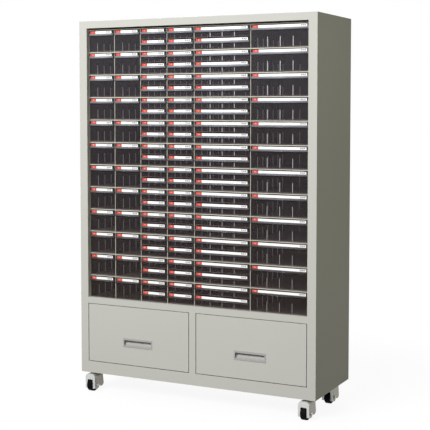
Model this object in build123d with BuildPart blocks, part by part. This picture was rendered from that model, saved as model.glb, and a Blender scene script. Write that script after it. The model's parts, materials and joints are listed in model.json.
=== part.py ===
"""Parts bin cabinet: a steel carcass on four swivel casters, with a grid of small
see-through drawers above two steel drawers on telescopic slides.

Millimetres. The origin is on the floor under the middle of the cabinet, +Z is up and
the drawers open towards -Y.
"""
from build123d import *
import os
from math import sqrt

os.makedirs("parts", exist_ok=True)

# ---------------------------------------------------------------- driving dimensions
# Carcass
body_depth = 345.0
sheet = 1.2
stile_width = 33.0
top_rail = 27.0
bottom_rail = 44.0
deck_rail = 24.0
rail_lip = 15.0
rear_flange = 20.0
bend_radius = 1.0
grid_recess = 18.0
crown_gap = 4.2
centre_post_width = 27.0

# Grid of partitions and shelves for the small drawers
rows = 12
row_pitch = 85.4
cell_width = 113.0
column_spans = (1, 1, 1, 1, 2, 2)
low_columns = (3, 4, 5)
sliding_rows = (4, 9)
plate = 1.0
partition_hem = 3.0
shelf_hem = 3.5
hem_depth = 6.0
slot_play = 0.2
stop_height = 8.0
stop_gap = 0.5
runner_sheet = 1.2
runner_ledge = 6.0
runner_leg = 8.0

# Small drawers
face_proud = 2.0
rear_space = 14.6
side_play = 0.8
top_play = 2.3
runner_play = 0.4
drawer_wall = 2.0
drawer_floor = 2.0
front_wall = 2.5
rib_width = 2.0
rib_proud = 1.5
rib_height = 38.0
rib_below_top = 20.0
rib_start = 53.0
rib_pitch = 46.5
side_ribs = 6
front_rib_pitch = 48.5
wide_front_ribs = 3
label_bar = 13.0
label_bar_depth = 2.5
label_height = 11.5
label_depth = 0.8
label_end = 5.0
lip_height = 6.5
lip_reach = 3.0

# Steel drawers
opening_height = 226.0
front_gap = 2.5
front_thickness = 18.0
front_fold = 16.0
tray_lift = 10.0
tray_height = 180.0
tray_sheet = 1.0
tray_rear_space = 20.0
slide_thickness = 12.7
slide_height = 45.0
slide_sheet = 1.2
middle_flange = 2.0
inner_flange = 1.5
slide_play = 0.1
slide_web_gap = 0.3
slide_level = 70.0
slide_setback = 4.0
bracket_height = 70.0

# Recessed pull
pull_width = 126.0
pull_height = 34.0
pull_rim = 3.0
pull_proud = 1.2
pull_depth = 14.0
pull_wall = 1.5
pull_brow = 3.0
pull_scoop = (4.0, 7.0)
pull_drop = 25.5
pull_play = 0.3

# Casters
caster_side_inset = 42.0
caster_front_inset = 40.0
caster_rear_inset = 66.0
caster_turns = {"front_left": 3.0, "front_right": 3.0, "rear_left": -78.0, "rear_right": 3.0}
caster_trail = 25.0
wheel_radius = 25.0
wheel_width = 22.0
wheel_edge = 3.0
hub_radius = 9.0
axle_radius = 4.0
running_play = 0.05
washer_gap = 0.3
fork_width = 42.0
fork_sheet = 2.5
fork_corner = 12.0
fork_boss = 16.0
fork_nose = 10.0
fork_heel = 12.0
fork_rake = 8.0
fork_rear = 20.0
fork_skirt = 15.0
window_play = 1.0
window_rise = 1.0
window_corner = 4.0
crown_space = 16.2
nut_across = 11.0
nut_thickness = 4.0
axle_end = 1.0
top_plate_side = 60.0
top_plate_sheet = 2.5
top_plate_corner = 8.0
race_inner = 8.0
race_outer = 16.0
race_height = 3.5
pin_radius = 4.0
pin_head_radius = 7.0
pin_head_height = 2.5
bolt_radius = 3.0
bolt_play = 0.3
bolt_spacing = 44.0
bolt_head_radius = 5.0
bolt_head_height = 4.0
stiffener_margin = 8.0
stiffener_sheet = 3.0

# ---------------------------------------------------------------- worked-out places
cells = sum(column_spans)
width = 2 * stile_width + cells * cell_width
half_width = width / 2
inner_half = half_width - stile_width
front = -body_depth / 2
back = body_depth / 2

fork_crown = 2 * wheel_radius + crown_space + fork_sheet
plate_z = fork_crown + washer_gap + race_height
base_z = plate_z + top_plate_sheet
opening_z = base_z + bottom_rail
deck_z = opening_z + opening_height + deck_rail
grid_top = deck_z + rows * row_pitch
top_z = grid_top + crown_gap + top_rail

grid_front = front + grid_recess
drawer_front = grid_front - face_proud
drawer_back = back - 2 * sheet - rear_space
drawer_length = drawer_back - drawer_front
grid_back = drawer_back + stop_gap + plate
slot_start = (grid_front + grid_back) / 2
tall_height = row_pitch - shelf_hem - top_play
low_height = (tall_height - runner_sheet - runner_play) / 2
upper_seat = low_height + runner_play + runner_sheet

opening_width = inner_half - centre_post_width / 2
opening_middle = (inner_half + centre_post_width / 2) / 2
front_width = opening_width - 2 * front_gap
front_height = opening_height - 2 * front_gap
tray_width = opening_width - 2 * slide_thickness
tray_front = front + front_thickness
tray_back = back - 2 * sheet - tray_rear_space
tray_z = opening_z + tray_lift
slide_z = tray_z + slide_level
pull_z = opening_z + opening_height / 2 - pull_drop


def block(x, y, z, mode=Mode.ADD):
    """Add or cut a box that runs between two values on each axis."""
    middle = tuple((low + high) / 2 for low, high in (x, y, z))
    with Locations(middle):
        Box(x[1] - x[0], y[1] - y[0], z[1] - z[0], mode=mode)


def save(piece, name):
    """Label a finished piece and write its STEP file."""
    piece.part.label = name
    export_step(piece.part, f"parts/{name}.step")


# ---------------------------------------------------------------- carcass
with BuildPart() as left_side_panel:
    block((-half_width, -half_width + sheet), (front, back), (base_z, top_z))
    block((-half_width, -inner_half), (front, front + sheet), (base_z, top_z))
    block((-inner_half - sheet, -inner_half), (front, grid_front), (opening_z - sheet, top_z - sheet))
    block((-half_width, -half_width + rear_flange), (back - sheet, back), (base_z, top_z))
    front_corner = (-half_width, front, (base_z + top_z) / 2)
    fillet(edges().filter_by(Axis.Z).sort_by_distance(front_corner)[0], radius=bend_radius)

with BuildPart() as right_side_panel:
    mirror(left_side_panel.part, about=Plane.YZ)

sheet_x = (-half_width + sheet, half_width - sheet)
rail_x = (-inner_half, inner_half)
flange_x = (-half_width + rear_flange, half_width - rear_flange)

with BuildPart() as top_panel:
    block(sheet_x, (front + sheet, back - sheet), (top_z - sheet, top_z))
    block(rail_x, (front, front + sheet), (top_z - top_rail, top_z))
    block(rail_x, (front, front + rail_lip), (top_z - top_rail, top_z - top_rail + sheet))
    block(flange_x, (back - sheet, back), (top_z - rear_flange, top_z))
    fillet(edges().filter_by(Axis.X).sort_by_distance((0, front, top_z))[0], radius=bend_radius)

with BuildPart() as back_panel:
    block(sheet_x, (back - 2 * sheet, back - sheet), (base_z + sheet, top_z - sheet))

caster_places = [
    (side * (half_width - caster_side_inset), y)
    for y in (front + caster_front_inset, back - caster_rear_inset)
    for side in (-1, 1)
]
bolt_places = [
    (x + i * bolt_spacing / 2, y + j * bolt_spacing / 2)
    for x, y in caster_places
    for i in (-1, 1)
    for j in (-1, 1)
]

with BuildPart() as base_panel:
    block(sheet_x, (front + sheet, back - sheet), (base_z, base_z + sheet))
    block(rail_x, (front, front + sheet), (base_z, opening_z))
    block(rail_x, (front, front + rail_lip), (opening_z - sheet, opening_z))
    block(flange_x, (back - sheet, back), (base_z, base_z + rear_flange))
    with BuildSketch(Plane.XY.offset(base_z)):
        with Locations(*bolt_places):
            Circle(bolt_radius + bolt_play)
    extrude(amount=sheet, mode=Mode.SUBTRACT)

with BuildPart() as deck_panel:
    block(sheet_x, (grid_front, back - 2 * sheet), (deck_z - sheet, deck_z))
    block(rail_x, (front, grid_front), (deck_z - sheet, deck_z))
    block(rail_x, (front, front + sheet), (deck_z - deck_rail, deck_z))
    block(rail_x, (front, front + rail_lip), (deck_z - deck_rail, deck_z - deck_rail + sheet))

with BuildPart() as centre_post:
    half_post = centre_post_width / 2
    post_z = (opening_z, deck_z - deck_rail)
    block((-half_post, half_post), (front, front + sheet), post_z)
    for side in (-1, 1):
        wall_x = sorted((side * half_post, side * (half_post - sheet)))
        block(wall_x, (front, front + rail_lip), post_z)
        block(wall_x, (front + rail_lip, back - 2 * sheet), (base_z + sheet, deck_z - sheet))

for piece, name in (
    (left_side_panel, "left_side_panel"),
    (right_side_panel, "right_side_panel"),
    (top_panel, "top_panel"),
    (back_panel, "back_panel"),
    (base_panel, "base_panel"),
    (deck_panel, "deck_panel"),
    (centre_post, "centre_post"),
):
    save(piece, name)

# ---------------------------------------------------------------- drawer grid
# Partition k stands at partition_x[k]; column n lies between partitions n - 1 and n.
partition_x = [
    -inner_half + cell_width * sum(column_spans[:k]) for k in range(len(column_spans) + 1)
]
shelf_tops = [deck_z + row_pitch * (k + 1) for k in range(rows)]
slot_width = plate + 2 * slot_play

with BuildPart() as partition:
    block((-plate / 2, plate / 2), (grid_front, grid_back), (deck_z, grid_top))
    block((-partition_hem / 2, partition_hem / 2), (grid_front, grid_front + hem_depth), (deck_z, grid_top))
    for z in shelf_tops:
        slot_z = (z - plate - slot_play, z + slot_play)
        block((-plate, plate), (slot_start, grid_back), slot_z, Mode.SUBTRACT)
        stop_z = (z - plate - slot_play, z + stop_height + slot_play)
        block((-plate, plate), (grid_back - plate - slot_play, grid_back), stop_z, Mode.SUBTRACT)

with BuildPart() as column_partitions:
    with Locations(*[(x, 0, 0) for x in partition_x]):
        add(partition.part, clean=False)

# The shelf's top is at z = 0 here. Slots from its front edge let the partitions through.
shelf_half = inner_half - plate / 2 - slot_play
with BuildPart() as shelf:
    block((-shelf_half, shelf_half), (grid_front, grid_back), (-plate, 0))
    block((-shelf_half, shelf_half), (grid_front, grid_front + hem_depth), (-shelf_hem, 0))
    block((-shelf_half, shelf_half), (grid_back - plate, grid_back), (-plate, stop_height))
    for x in partition_x:
        hem_x = (x - partition_hem / 2 - slot_play, x + partition_hem / 2 + slot_play)
        hem_y = (grid_front, grid_front + hem_depth + slot_play)
        block(hem_x, hem_y, (-shelf_hem, 0), Mode.SUBTRACT)
    for x in partition_x[1:-1]:
        slot_x = (x - slot_width / 2, x + slot_width / 2)
        block(slot_x, (grid_front, slot_start + slot_play), (-plate, 0), Mode.SUBTRACT)

with BuildPart() as row_shelves:
    with Locations(*[(0, 0, z) for z in shelf_tops]):
        add(shelf.part, clean=False)

# An angle whose ledge carries the upper of two low drawers. It stands on the right
# face of a partition at x = 0, with the ledge's top at z = 0.
with BuildPart() as runner:
    runner_y = (grid_front + hem_depth, drawer_back)
    block((plate / 2, plate / 2 + runner_ledge), runner_y, (-runner_sheet, 0))
    block((plate / 2, plate / 2 + plate), runner_y, (-runner_leg, 0))

with BuildPart() as left_hand_runner:
    mirror(runner.part, about=Plane.YZ)

runner_z = [deck_z + row_pitch * k + upper_seat for k in range(rows)]
with BuildPart() as drawer_runners:
    with Locations(*[(partition_x[n - 1], 0, z) for n in low_columns for z in runner_z]):
        add(runner.part, clean=False)
    with Locations(*[(partition_x[n], 0, z) for n in low_columns for z in runner_z]):
        add(left_hand_runner.part, clean=False)

save(column_partitions, "column_partitions")
save(row_shelves, "row_shelves")
save(drawer_runners, "drawer_runners")


# ---------------------------------------------------------------- small drawers
def rib_places(span, width_inside, depth_inside):
    """Centres and sizes of the divider ribs: on the side walls, and on a wide drawer's front and rear."""
    places = []
    for k in range(side_ribs):
        for side in (-1, 1):
            x = side * (width_inside - rib_proud) / 2
            places.append((x, rib_start + k * rib_pitch, rib_proud, rib_width))
    if span > 1:
        for k in range(wide_front_ribs):
            x = (k - (wide_front_ribs - 1) / 2) * front_rib_pitch
            for y in (front_wall + rib_proud / 2, front_wall + depth_inside - rib_proud / 2):
                places.append((x, y, rib_width, rib_proud))
    return places


def small_drawer(span, height):
    """One moulded drawer, with its front at y = 0 and its floor's underside at z = 0."""
    outer_width = span * cell_width - partition_hem - 2 * side_play
    width_inside = outer_width - 2 * drawer_wall
    depth_inside = drawer_length - front_wall - drawer_wall
    middle_y = front_wall + depth_inside / 2
    rib_top = min(rib_height, height - rib_below_top)
    with BuildPart() as tray:
        block((-outer_width / 2, outer_width / 2), (0, drawer_length), (0, height))
        with BuildSketch(Plane.XY.offset(drawer_floor)):
            with Locations((0, middle_y)):
                Rectangle(width_inside, depth_inside)
            for x, y, size_x, size_y in rib_places(span, width_inside, depth_inside):
                with Locations((x, y)):
                    Rectangle(size_x, size_y, mode=Mode.SUBTRACT)
        extrude(amount=rib_top - drawer_floor, mode=Mode.SUBTRACT)
        with BuildSketch(Plane.XY.offset(rib_top)):
            with Locations((0, middle_y)):
                Rectangle(width_inside, depth_inside)
        extrude(amount=height - rib_top, mode=Mode.SUBTRACT)
        with BuildSketch(Plane.YZ):
            with BuildLine():
                bar_z = height - label_bar
                Polyline(
                    (0, height),
                    (-label_bar_depth, height),
                    (-label_bar_depth, bar_z),
                    (-label_bar_depth - lip_reach, bar_z - lip_height / 3),
                    (-label_bar_depth - lip_reach, bar_z - 2 * lip_height / 3),
                    (0, bar_z - lip_height),
                    close=True,
                )
            make_face()
        extrude(amount=outer_width / 2, both=True)
        label_x = outer_width / 2 - label_end
        label_z = height - (label_bar - label_height) / 2
        block(
            (-label_x, label_x),
            (-label_bar_depth, -label_bar_depth + label_depth),
            (label_z - label_height, label_z),
            Mode.SUBTRACT,
        )
    return tray.part


def drawer_places(low, span):
    """Name, row and place of every small drawer of one kind, the top row first."""
    found = []
    for n, column_span in enumerate(column_spans, start=1):
        if column_span != span or (n in low_columns) != low:
            continue
        x = (partition_x[n - 1] + partition_x[n]) / 2
        for row in range(1, rows + 1):
            seat = deck_z + (rows - row) * row_pitch
            name = f"drawer_r{row}_c{n}"
            if low:
                found.append((name + "_upper", row, (x, drawer_front, seat + upper_seat)))
                found.append((name + "_lower", row, (x, drawer_front, seat)))
            else:
                found.append((name, row, (x, drawer_front, seat)))
    return found


for low, span, group_name in (
    (False, 1, "tall_narrow_drawers"),
    (True, 1, "low_narrow_drawers"),
    (True, 2, "low_wide_drawers"),
    (False, 2, "tall_wide_drawers"),
):
    moulding = small_drawer(span, low_height if low else tall_height)
    every_place = drawer_places(low, span)
    with BuildPart() as resting_drawers:
        with Locations(*[place for name, row, place in every_place if row not in sliding_rows]):
            add(moulding, clean=False)
    save(resting_drawers, group_name)
    for name, row, place in every_place:
        if row in sliding_rows:
            with BuildPart() as sliding_drawer:
                with Locations(place):
                    add(moulding, clean=False)
            save(sliding_drawer, name)

# ---------------------------------------------------------------- steel drawers
slide_y = (tray_front + slide_setback, tray_back)


def channel(wall_x, tray_side, web, flange_end, half_height, thickness, flange_sheet):
    """A slide member: a web and two flanges, at distances from the wall towards the tray."""
    web_x = sorted(wall_x + tray_side * u for u in web)
    flange_x = sorted(wall_x + tray_side * u for u in (web[0], flange_end))
    block(web_x, slide_y, (slide_z - half_height, slide_z + half_height))
    for side in (-1, 1):
        flange_z = sorted(slide_z + side * h for h in (half_height - flange_sheet, half_height))
        block(flange_x, slide_y, flange_z)


outer_half = slide_height / 2
middle_half = outer_half - slide_sheet - slide_play
inner_half_height = middle_half - middle_flange - slide_play
middle_web = slide_sheet + slide_web_gap
middle_end = slide_thickness - inner_flange - 2 * slide_web_gap
inner_flange_end = middle_web + slide_sheet + slide_web_gap

slide_walls = {
    "left": ((-inner_half, 1), (-centre_post_width / 2, -1)),
    "right": ((centre_post_width / 2, 1), (inner_half, -1)),
}

with BuildPart() as slide_brackets:
    for side in (-1, 1):
        web_x = sorted((side * inner_half, side * (inner_half + sheet)))
        arm_x = sorted((side * inner_half, side * (half_width - sheet)))
        bracket_y = (grid_front, back - 2 * sheet)
        block(web_x, bracket_y, (slide_z - bracket_height / 2, slide_z + bracket_height / 2))
        for end in (-1, 1):
            arm_z = sorted(slide_z + end * h for h in (bracket_height / 2 - sheet, bracket_height / 2))
            block(arm_x, bracket_y, arm_z)
save(slide_brackets, "slide_brackets")

with BuildPart() as slide_outer_members:
    for walls in slide_walls.values():
        for wall_x, tray_side in walls:
            channel(wall_x, tray_side, (0, slide_sheet), middle_end, outer_half, slide_sheet, slide_sheet)
save(slide_outer_members, "slide_outer_members")

for hand, middle_x in (("left", -opening_middle), ("right", opening_middle)):
    with BuildPart() as slide_middle:
        for wall_x, tray_side in slide_walls[hand]:
            web = (middle_web, middle_web + slide_sheet)
            channel(wall_x, tray_side, web, middle_end, middle_half, slide_sheet, middle_flange)
    save(slide_middle, f"{hand}_slide_middle_members")

    with BuildPart() as slide_inner:
        for wall_x, tray_side in slide_walls[hand]:
            web = (slide_thickness, slide_thickness - inner_flange)
            channel(wall_x, tray_side, web, inner_flange_end, inner_half_height, slide_sheet, inner_flange)
    save(slide_inner, f"{hand}_slide_inner_members")

    with BuildPart() as tray:
        tray_x = (middle_x - tray_width / 2, middle_x + tray_width / 2)
        block(tray_x, (tray_front, tray_back), (tray_z, tray_z + tray_height))
        block(
            (tray_x[0] + tray_sheet, tray_x[1] - tray_sheet),
            (tray_front + tray_sheet, tray_back - tray_sheet),
            (tray_z + tray_sheet, tray_z + tray_height),
            Mode.SUBTRACT,
        )
    save(tray, f"{hand}_drawer_tray")

    with BuildPart() as drawer_front_pan:
        half = front_width / 2
        front_z = (opening_z + front_gap, opening_z + front_gap + front_height)
        block((middle_x - half, middle_x + half), (front, tray_front), front_z)
        fillet(edges().group_by(Axis.Y)[0], radius=bend_radius)
        block(
            (middle_x - half + sheet, middle_x + half - sheet),
            (front + sheet, tray_front - sheet),
            (front_z[0] + sheet, front_z[1] - sheet),
            Mode.SUBTRACT,
        )
        block(
            (middle_x - half + front_fold, middle_x + half - front_fold),
            (tray_front - sheet, tray_front),
            (front_z[0] + front_fold, front_z[1] - front_fold),
            Mode.SUBTRACT,
        )
        hole_half = pull_width / 2 - pull_rim
        hole_rise = pull_height / 2 - pull_rim
        block(
            (middle_x - hole_half, middle_x + hole_half),
            (front, front + sheet),
            (pull_z - hole_rise, pull_z + hole_rise),
            Mode.SUBTRACT,
        )
    save(drawer_front_pan, f"{hand}_drawer_front")

    cup_half = hole_half - pull_play
    cup_rise = hole_rise - pull_play
    with BuildPart() as pull:
        block(
            (middle_x - pull_width / 2, middle_x + pull_width / 2),
            (front - pull_proud, front),
            (pull_z - pull_height / 2, pull_z + pull_height / 2),
        )
        block(
            (middle_x - cup_half, middle_x + cup_half),
            (front, front + pull_depth),
            (pull_z - cup_rise, pull_z + cup_rise),
        )
        with BuildSketch(Plane.YZ.offset(middle_x)):
            with BuildLine():
                face_y = front - pull_proud
                brow_y = front + pull_wall
                floor_y = front + pull_depth - pull_wall
                roof_z = pull_z + cup_rise - pull_wall
                brow_z = roof_z - pull_brow
                sill = (face_y, pull_z - cup_rise + pull_wall)
                scoop_start = (floor_y, pull_z)
                scoop_middle = (floor_y - pull_scoop[0], pull_z - pull_scoop[1])
                Polyline(
                    sill,
                    (face_y, brow_z),
                    (brow_y, brow_z),
                    (brow_y, roof_z),
                    (floor_y, roof_z),
                    scoop_start,
                )
                ThreePointArc(scoop_start, scoop_middle, sill)
            make_face()
        extrude(amount=cup_half - pull_wall, both=True, mode=Mode.SUBTRACT)
    save(pull, f"{hand}_drawer_pull")

# ---------------------------------------------------------------- casters
# A caster is drawn with its swivel axis at x = y = 0 and its wheel towards -Y, then
# turned to its rest angle and moved to its place.
axle_y = -caster_trail
axle_z = wheel_radius
fork_inside = fork_width / 2 - fork_sheet
nose_y = axle_y - fork_boss
nut_face = fork_width / 2 + nut_thickness

with BuildPart() as fork:
    with BuildSketch(Plane.YZ):
        with BuildLine():
            Polyline(
                (nose_y, axle_z),
                (nose_y, fork_crown),
                (fork_rear - fork_rake, fork_crown),
                (fork_rear, fork_skirt),
                (axle_y + fork_boss + fork_rake, fork_skirt),
                (axle_y + fork_boss, axle_z),
                close=True,
            )
        make_face()
        fillet(vertices().sort_by_distance((nose_y, fork_crown))[0], radius=fork_nose)
        fillet(vertices().sort_by_distance((fork_rear, fork_skirt))[0], radius=fork_heel)
        with Locations((axle_y, axle_z)):
            Circle(fork_boss)
    extrude(amount=fork_width / 2, both=True)
    with BuildSketch(Plane.XZ.offset(-fork_rear)):
        with Locations((0, fork_crown / 2)):
            Rectangle(fork_width, fork_crown)
        fillet(vertices().group_by(Axis.Y)[-1], radius=fork_corner)
    extrude(amount=fork_rear - nose_y, mode=Mode.INTERSECT)
    with BuildSketch(Plane.XZ.offset(-fork_rear)):
        with Locations((0, (fork_crown - fork_sheet) / 2)):
            Rectangle(2 * fork_inside, fork_crown - fork_sheet)
        fillet(vertices().group_by(Axis.Y)[-1], radius=fork_corner - fork_sheet)
    extrude(amount=fork_rear - nose_y - fork_sheet, mode=Mode.SUBTRACT)
    with BuildSketch(Plane.XZ.offset(-axle_y)):
        wheel_rise = sqrt(wheel_radius**2 - (fork_boss - fork_sheet) ** 2)
        window_top = axle_z + wheel_rise + window_rise
        with Locations((0, window_top / 2)):
            Rectangle(wheel_width + 2 * window_play, window_top)
        fillet(vertices().group_by(Axis.Y)[-1], radius=window_corner)
    extrude(amount=fork_boss, mode=Mode.SUBTRACT)
    with BuildSketch(Plane.YZ.offset(-fork_width / 2)):
        with Locations((axle_y, axle_z)):
            Circle(axle_radius + running_play)
    extrude(amount=fork_width, mode=Mode.SUBTRACT)
    with BuildSketch(Plane.XY.offset(fork_crown - fork_sheet)):
        Circle(pin_radius + running_play)
    extrude(amount=fork_sheet, mode=Mode.SUBTRACT)

with BuildPart() as wheel:
    hub_half = fork_inside - washer_gap
    with BuildSketch(Plane.XY.offset(axle_z)):
        with BuildLine():
            Polyline(
                (-wheel_width / 2, axle_y - wheel_radius),
                (wheel_width / 2, axle_y - wheel_radius),
                (wheel_width / 2, axle_y - hub_radius),
                (hub_half, axle_y - hub_radius),
                (hub_half, axle_y - axle_radius - running_play),
                (-hub_half, axle_y - axle_radius - running_play),
                (-hub_half, axle_y - hub_radius),
                (-wheel_width / 2, axle_y - hub_radius),
                close=True,
            )
        make_face()
        fillet(vertices().group_by(Axis.Y)[0], radius=wheel_edge)
    revolve(axis=Axis((0, axle_y, axle_z), (1, 0, 0)))

with BuildPart() as axle:
    with BuildSketch(Plane.YZ.offset(-fork_width / 2)):
        with Locations((axle_y, axle_z)):
            Circle(axle_radius)
    extrude(amount=fork_width + nut_thickness + axle_end)
    with BuildSketch(Plane.YZ.offset(-nut_face)):
        with Locations((axle_y, axle_z)):
            Circle(nut_across / 2)
    extrude(amount=nut_thickness)
    with BuildSketch(Plane.YZ.offset(fork_width / 2)):
        with Locations((axle_y, axle_z)):
            RegularPolygon(nut_across / 2, 6, major_radius=False)
    extrude(amount=nut_thickness)

with BuildPart() as top_plate:
    with BuildSketch(Plane.XY.offset(plate_z)):
        RectangleRounded(top_plate_side, top_plate_side, top_plate_corner)
        with GridLocations(bolt_spacing, bolt_spacing, 2, 2):
            Circle(bolt_radius + running_play, mode=Mode.SUBTRACT)
    extrude(amount=top_plate_sheet)
    with BuildSketch(Plane.XY.offset(plate_z)):
        Circle(race_outer)
        Circle(race_inner, mode=Mode.SUBTRACT)
    extrude(amount=-race_height)
    with BuildSketch(Plane.XY.offset(plate_z)):
        Circle(pin_radius)
    extrude(amount=-(plate_z - fork_crown + fork_sheet + washer_gap + pin_head_height))
    with BuildSketch(Plane.XY.offset(fork_crown - fork_sheet - washer_gap)):
        Circle(pin_head_radius)
    extrude(amount=-pin_head_height)

stiffener_side = bolt_spacing + 2 * stiffener_margin
with BuildPart() as stiffener:
    with BuildSketch(Plane.XY.offset(base_z + sheet)):
        RectangleRounded(stiffener_side, stiffener_side, stiffener_margin / 2)
        with GridLocations(bolt_spacing, bolt_spacing, 2, 2):
            Circle(bolt_radius + bolt_play, mode=Mode.SUBTRACT)
    extrude(amount=stiffener_sheet)

head_z = base_z + sheet + stiffener_sheet
with BuildPart() as bolt:
    with BuildSketch(Plane.XY.offset(plate_z)):
        Circle(bolt_radius)
    extrude(amount=head_z - plate_z)
    with BuildSketch(Plane.XY.offset(head_z)):
        RegularPolygon(bolt_head_radius, 6, major_radius=False)
    extrude(amount=bolt_head_height)

with BuildPart() as caster_top_plates:
    with Locations(*caster_places):
        add(top_plate.part, clean=False)
save(caster_top_plates, "caster_top_plates")

with BuildPart() as caster_stiffeners:
    with Locations(*caster_places):
        add(stiffener.part, clean=False)
save(caster_stiffeners, "caster_stiffeners")

with BuildPart() as caster_bolts:
    with Locations(*bolt_places):
        add(bolt.part, clean=False)
save(caster_bolts, "caster_bolts")

for (corner, turn), (x, y) in zip(caster_turns.items(), caster_places):
    at_rest = Location((x, y, 0), (0, 0, -turn))
    for source, role in ((fork, "fork"), (wheel, "wheel"), (axle, "axle")):
        with BuildPart() as caster_piece:
            with Locations(at_rest):
                add(source.part, clean=False)
        save(caster_piece, f"{corner}_caster_{role}")

print(f"cabinet {width:.1f} x {body_depth:.1f} x {top_z:.1f}, drawers {drawer_length:.1f} long")
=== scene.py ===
"""Parts bin cabinet: finishes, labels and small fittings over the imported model.

Metres throughout. The origin is on the floor under the middle of the cabinet, +Z is up
and the drawers open towards -Y.
"""
import json
import math
import random

import bmesh
import bpy
from bpy.props import FloatProperty, FloatVectorProperty, IntProperty, PointerProperty
from mathutils import Matrix, Vector

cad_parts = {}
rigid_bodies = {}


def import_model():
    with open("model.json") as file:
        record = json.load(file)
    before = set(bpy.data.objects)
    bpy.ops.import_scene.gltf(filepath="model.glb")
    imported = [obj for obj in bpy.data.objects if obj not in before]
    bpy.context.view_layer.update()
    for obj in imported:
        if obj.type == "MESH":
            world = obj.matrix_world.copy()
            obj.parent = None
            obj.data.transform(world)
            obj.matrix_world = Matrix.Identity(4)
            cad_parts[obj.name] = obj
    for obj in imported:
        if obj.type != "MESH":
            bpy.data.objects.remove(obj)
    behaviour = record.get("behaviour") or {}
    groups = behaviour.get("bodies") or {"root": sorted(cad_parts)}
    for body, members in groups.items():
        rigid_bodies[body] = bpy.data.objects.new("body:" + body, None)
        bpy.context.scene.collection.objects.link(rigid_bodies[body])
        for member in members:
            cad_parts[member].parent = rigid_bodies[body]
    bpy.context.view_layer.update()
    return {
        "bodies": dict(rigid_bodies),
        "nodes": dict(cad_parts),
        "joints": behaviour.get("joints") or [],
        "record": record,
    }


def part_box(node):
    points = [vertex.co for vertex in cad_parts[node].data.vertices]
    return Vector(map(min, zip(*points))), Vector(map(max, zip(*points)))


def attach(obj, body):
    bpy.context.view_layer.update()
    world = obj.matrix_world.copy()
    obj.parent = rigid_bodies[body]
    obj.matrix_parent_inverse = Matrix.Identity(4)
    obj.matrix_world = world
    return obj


bl_info = {
    "name": "Parts Bin Cabinet",
    "version": (1, 0, 0),
    "blender": (4, 5, 0),
    "location": "3D View > Sidebar > Bin Cabinet",
    "description": "Finishes, labels and small fittings of a parts bin cabinet on casters",
    "category": "Object",
}

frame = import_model()
nodes = frame["nodes"]
joints = {joint["name"]: joint for joint in frame["joints"]}

MM = 0.001
ROWS = 12
SLIDING_ROWS = (4, 9)
COLUMNS = {
    "c1": "tall_narrow_drawers",
    "c2": "tall_narrow_drawers",
    "c3": "low_narrow_drawers",
    "c4": "low_narrow_drawers",
    "c5": "low_wide_drawers",
    "c6": "tall_wide_drawers",
}
LOW_COLUMNS = ("c3", "c4", "c5")
CORNERS = ("front_left", "front_right", "rear_left", "rear_right")

# How far a small drawer's bar and lip stand in front of its front wall, and the width over
# which a drawer is a wide one.
FACE_DEPTH = 5.5 * MM
WIDE = 150.0 * MM

# The camera's place, how far it looks down and how far it is turned.
CAMERA_PLACE = (1.8062, -3.6194, 1.0949)
CAMERA_DIP = 3.408
CAMERA_TURN = 26.42

# Where each lamp hangs, the point it is aimed at, and its width and height.
KEY_LAMP = ((-0.75, -4.2, 3.3), (0.0, 0.0, 0.75), (2.6, 1.8))
SIDE_LAMP = ((2.0, -0.6, 1.3), (0.485, -0.1, 1.0), (0.8, 0.8))
REAR_LAMP = ((-1.6, 3.8, 2.4), (0.0, 0.17, 0.8), (2.0, 1.6))
SIDE_LIGHT = (0.98, 1.0, 0.78)
FILL_LIGHT = (0.985, 1.0, 0.78)

# The floor: half its width, its colour as it is seen and as it lights the cabinet, and the
# distances from the cabinet's middle between which its shadow fades out.
FLOOR_REACH = 30.0
FLOOR_WHITE = (0.97, 0.97, 0.97)
FLOOR_BOUNCE = (0.06, 0.05, 0.04)
SHADOW_FADE = (0.7, 1.5)

# Most values of a noise field lie between these two.
FIELD_RANGE = (0.3, 0.7)

# Heights above the floor between which the drawers' plastic turns from its darker, browner tint to its upper
# tint, and the painted highlights of the ribs and lips from weak to full.
SMOKE_FADE = (0.42, 1.3)
RIB_FADE = (0.42, 1.25)
LIP_FADE = (0.5, 1.25)

# Play of the card's two ends and of the tag's width, in millimetres.
CARD_LEFT_PLAY = (0.4, 2.6)
CARD_RIGHT_PLAY = (-0.8, 0.8)
TAG_PLAY = (-1.5, 1.5)

# What lies in a label slot: depths behind the bar's front face, eased edges, how far the tag
# keeps inside the card and laps over its end, and the colour of the printed numbers.
CARD_FRONT = 0.25 * MM
CARD_CLEARANCE = 0.05 * MM
CARD_EDGE = 0.08 * MM
TAG_LAYER = (0.1 * MM, 0.3 * MM)
TAG_EDGE = 0.06 * MM
TAG_INSET = 0.1 * MM
TAG_OVERHANG = 0.05 * MM
NUMBER_FRONT = 0.07 * MM
RULED_LAYER = (0.2 * MM, 0.26 * MM)
NUMBER_COLOUR = (0.8, 0.72, 0.7)

# The ruled dashes and the line under them, from the card's right end and its middle height,
# in millimetres.
DASHES = 3
DASH_START = 24.0
DASH_STEP = 7.2
DASH_WIDTH = 5.6
DASH_HEIGHTS = (-0.4, 2.4)
LINE_END = 4.0
LINE_HEIGHTS = (-2.6, -1.8)

# Order of the materials on the labels and on the ribs.
CARD, TAG, NUMBER, RULED = range(4)
RIB, SEAM = range(2)

# The lip: its clearances, the middle and radius of its roll as shares of its reach and height,
# and the two points of its foot, by how far back they lie and their share of the height.
LIP_END = 1.5 * MM
LIP_GAP = 0.05 * MM
SHEET_LAP = 0.1 * MM
SHEET_FRONT = 0.1 * MM
SHEET_BACK = 0.6 * MM
ROLL_OUT = (0.62, 0.38)
ROLL_DOWN = (0.5, 0.28)
ROLL_STEPS = 8
FOOT_BACK = (-0.4 * MM, 0.5 * MM)
FOOT_DOWN = (0.93, 0.85)

# Eased edges of the rib covers and of the seam.
RIB_EDGE = 0.4 * MM
SEAM_EDGE = 0.2 * MM
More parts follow.
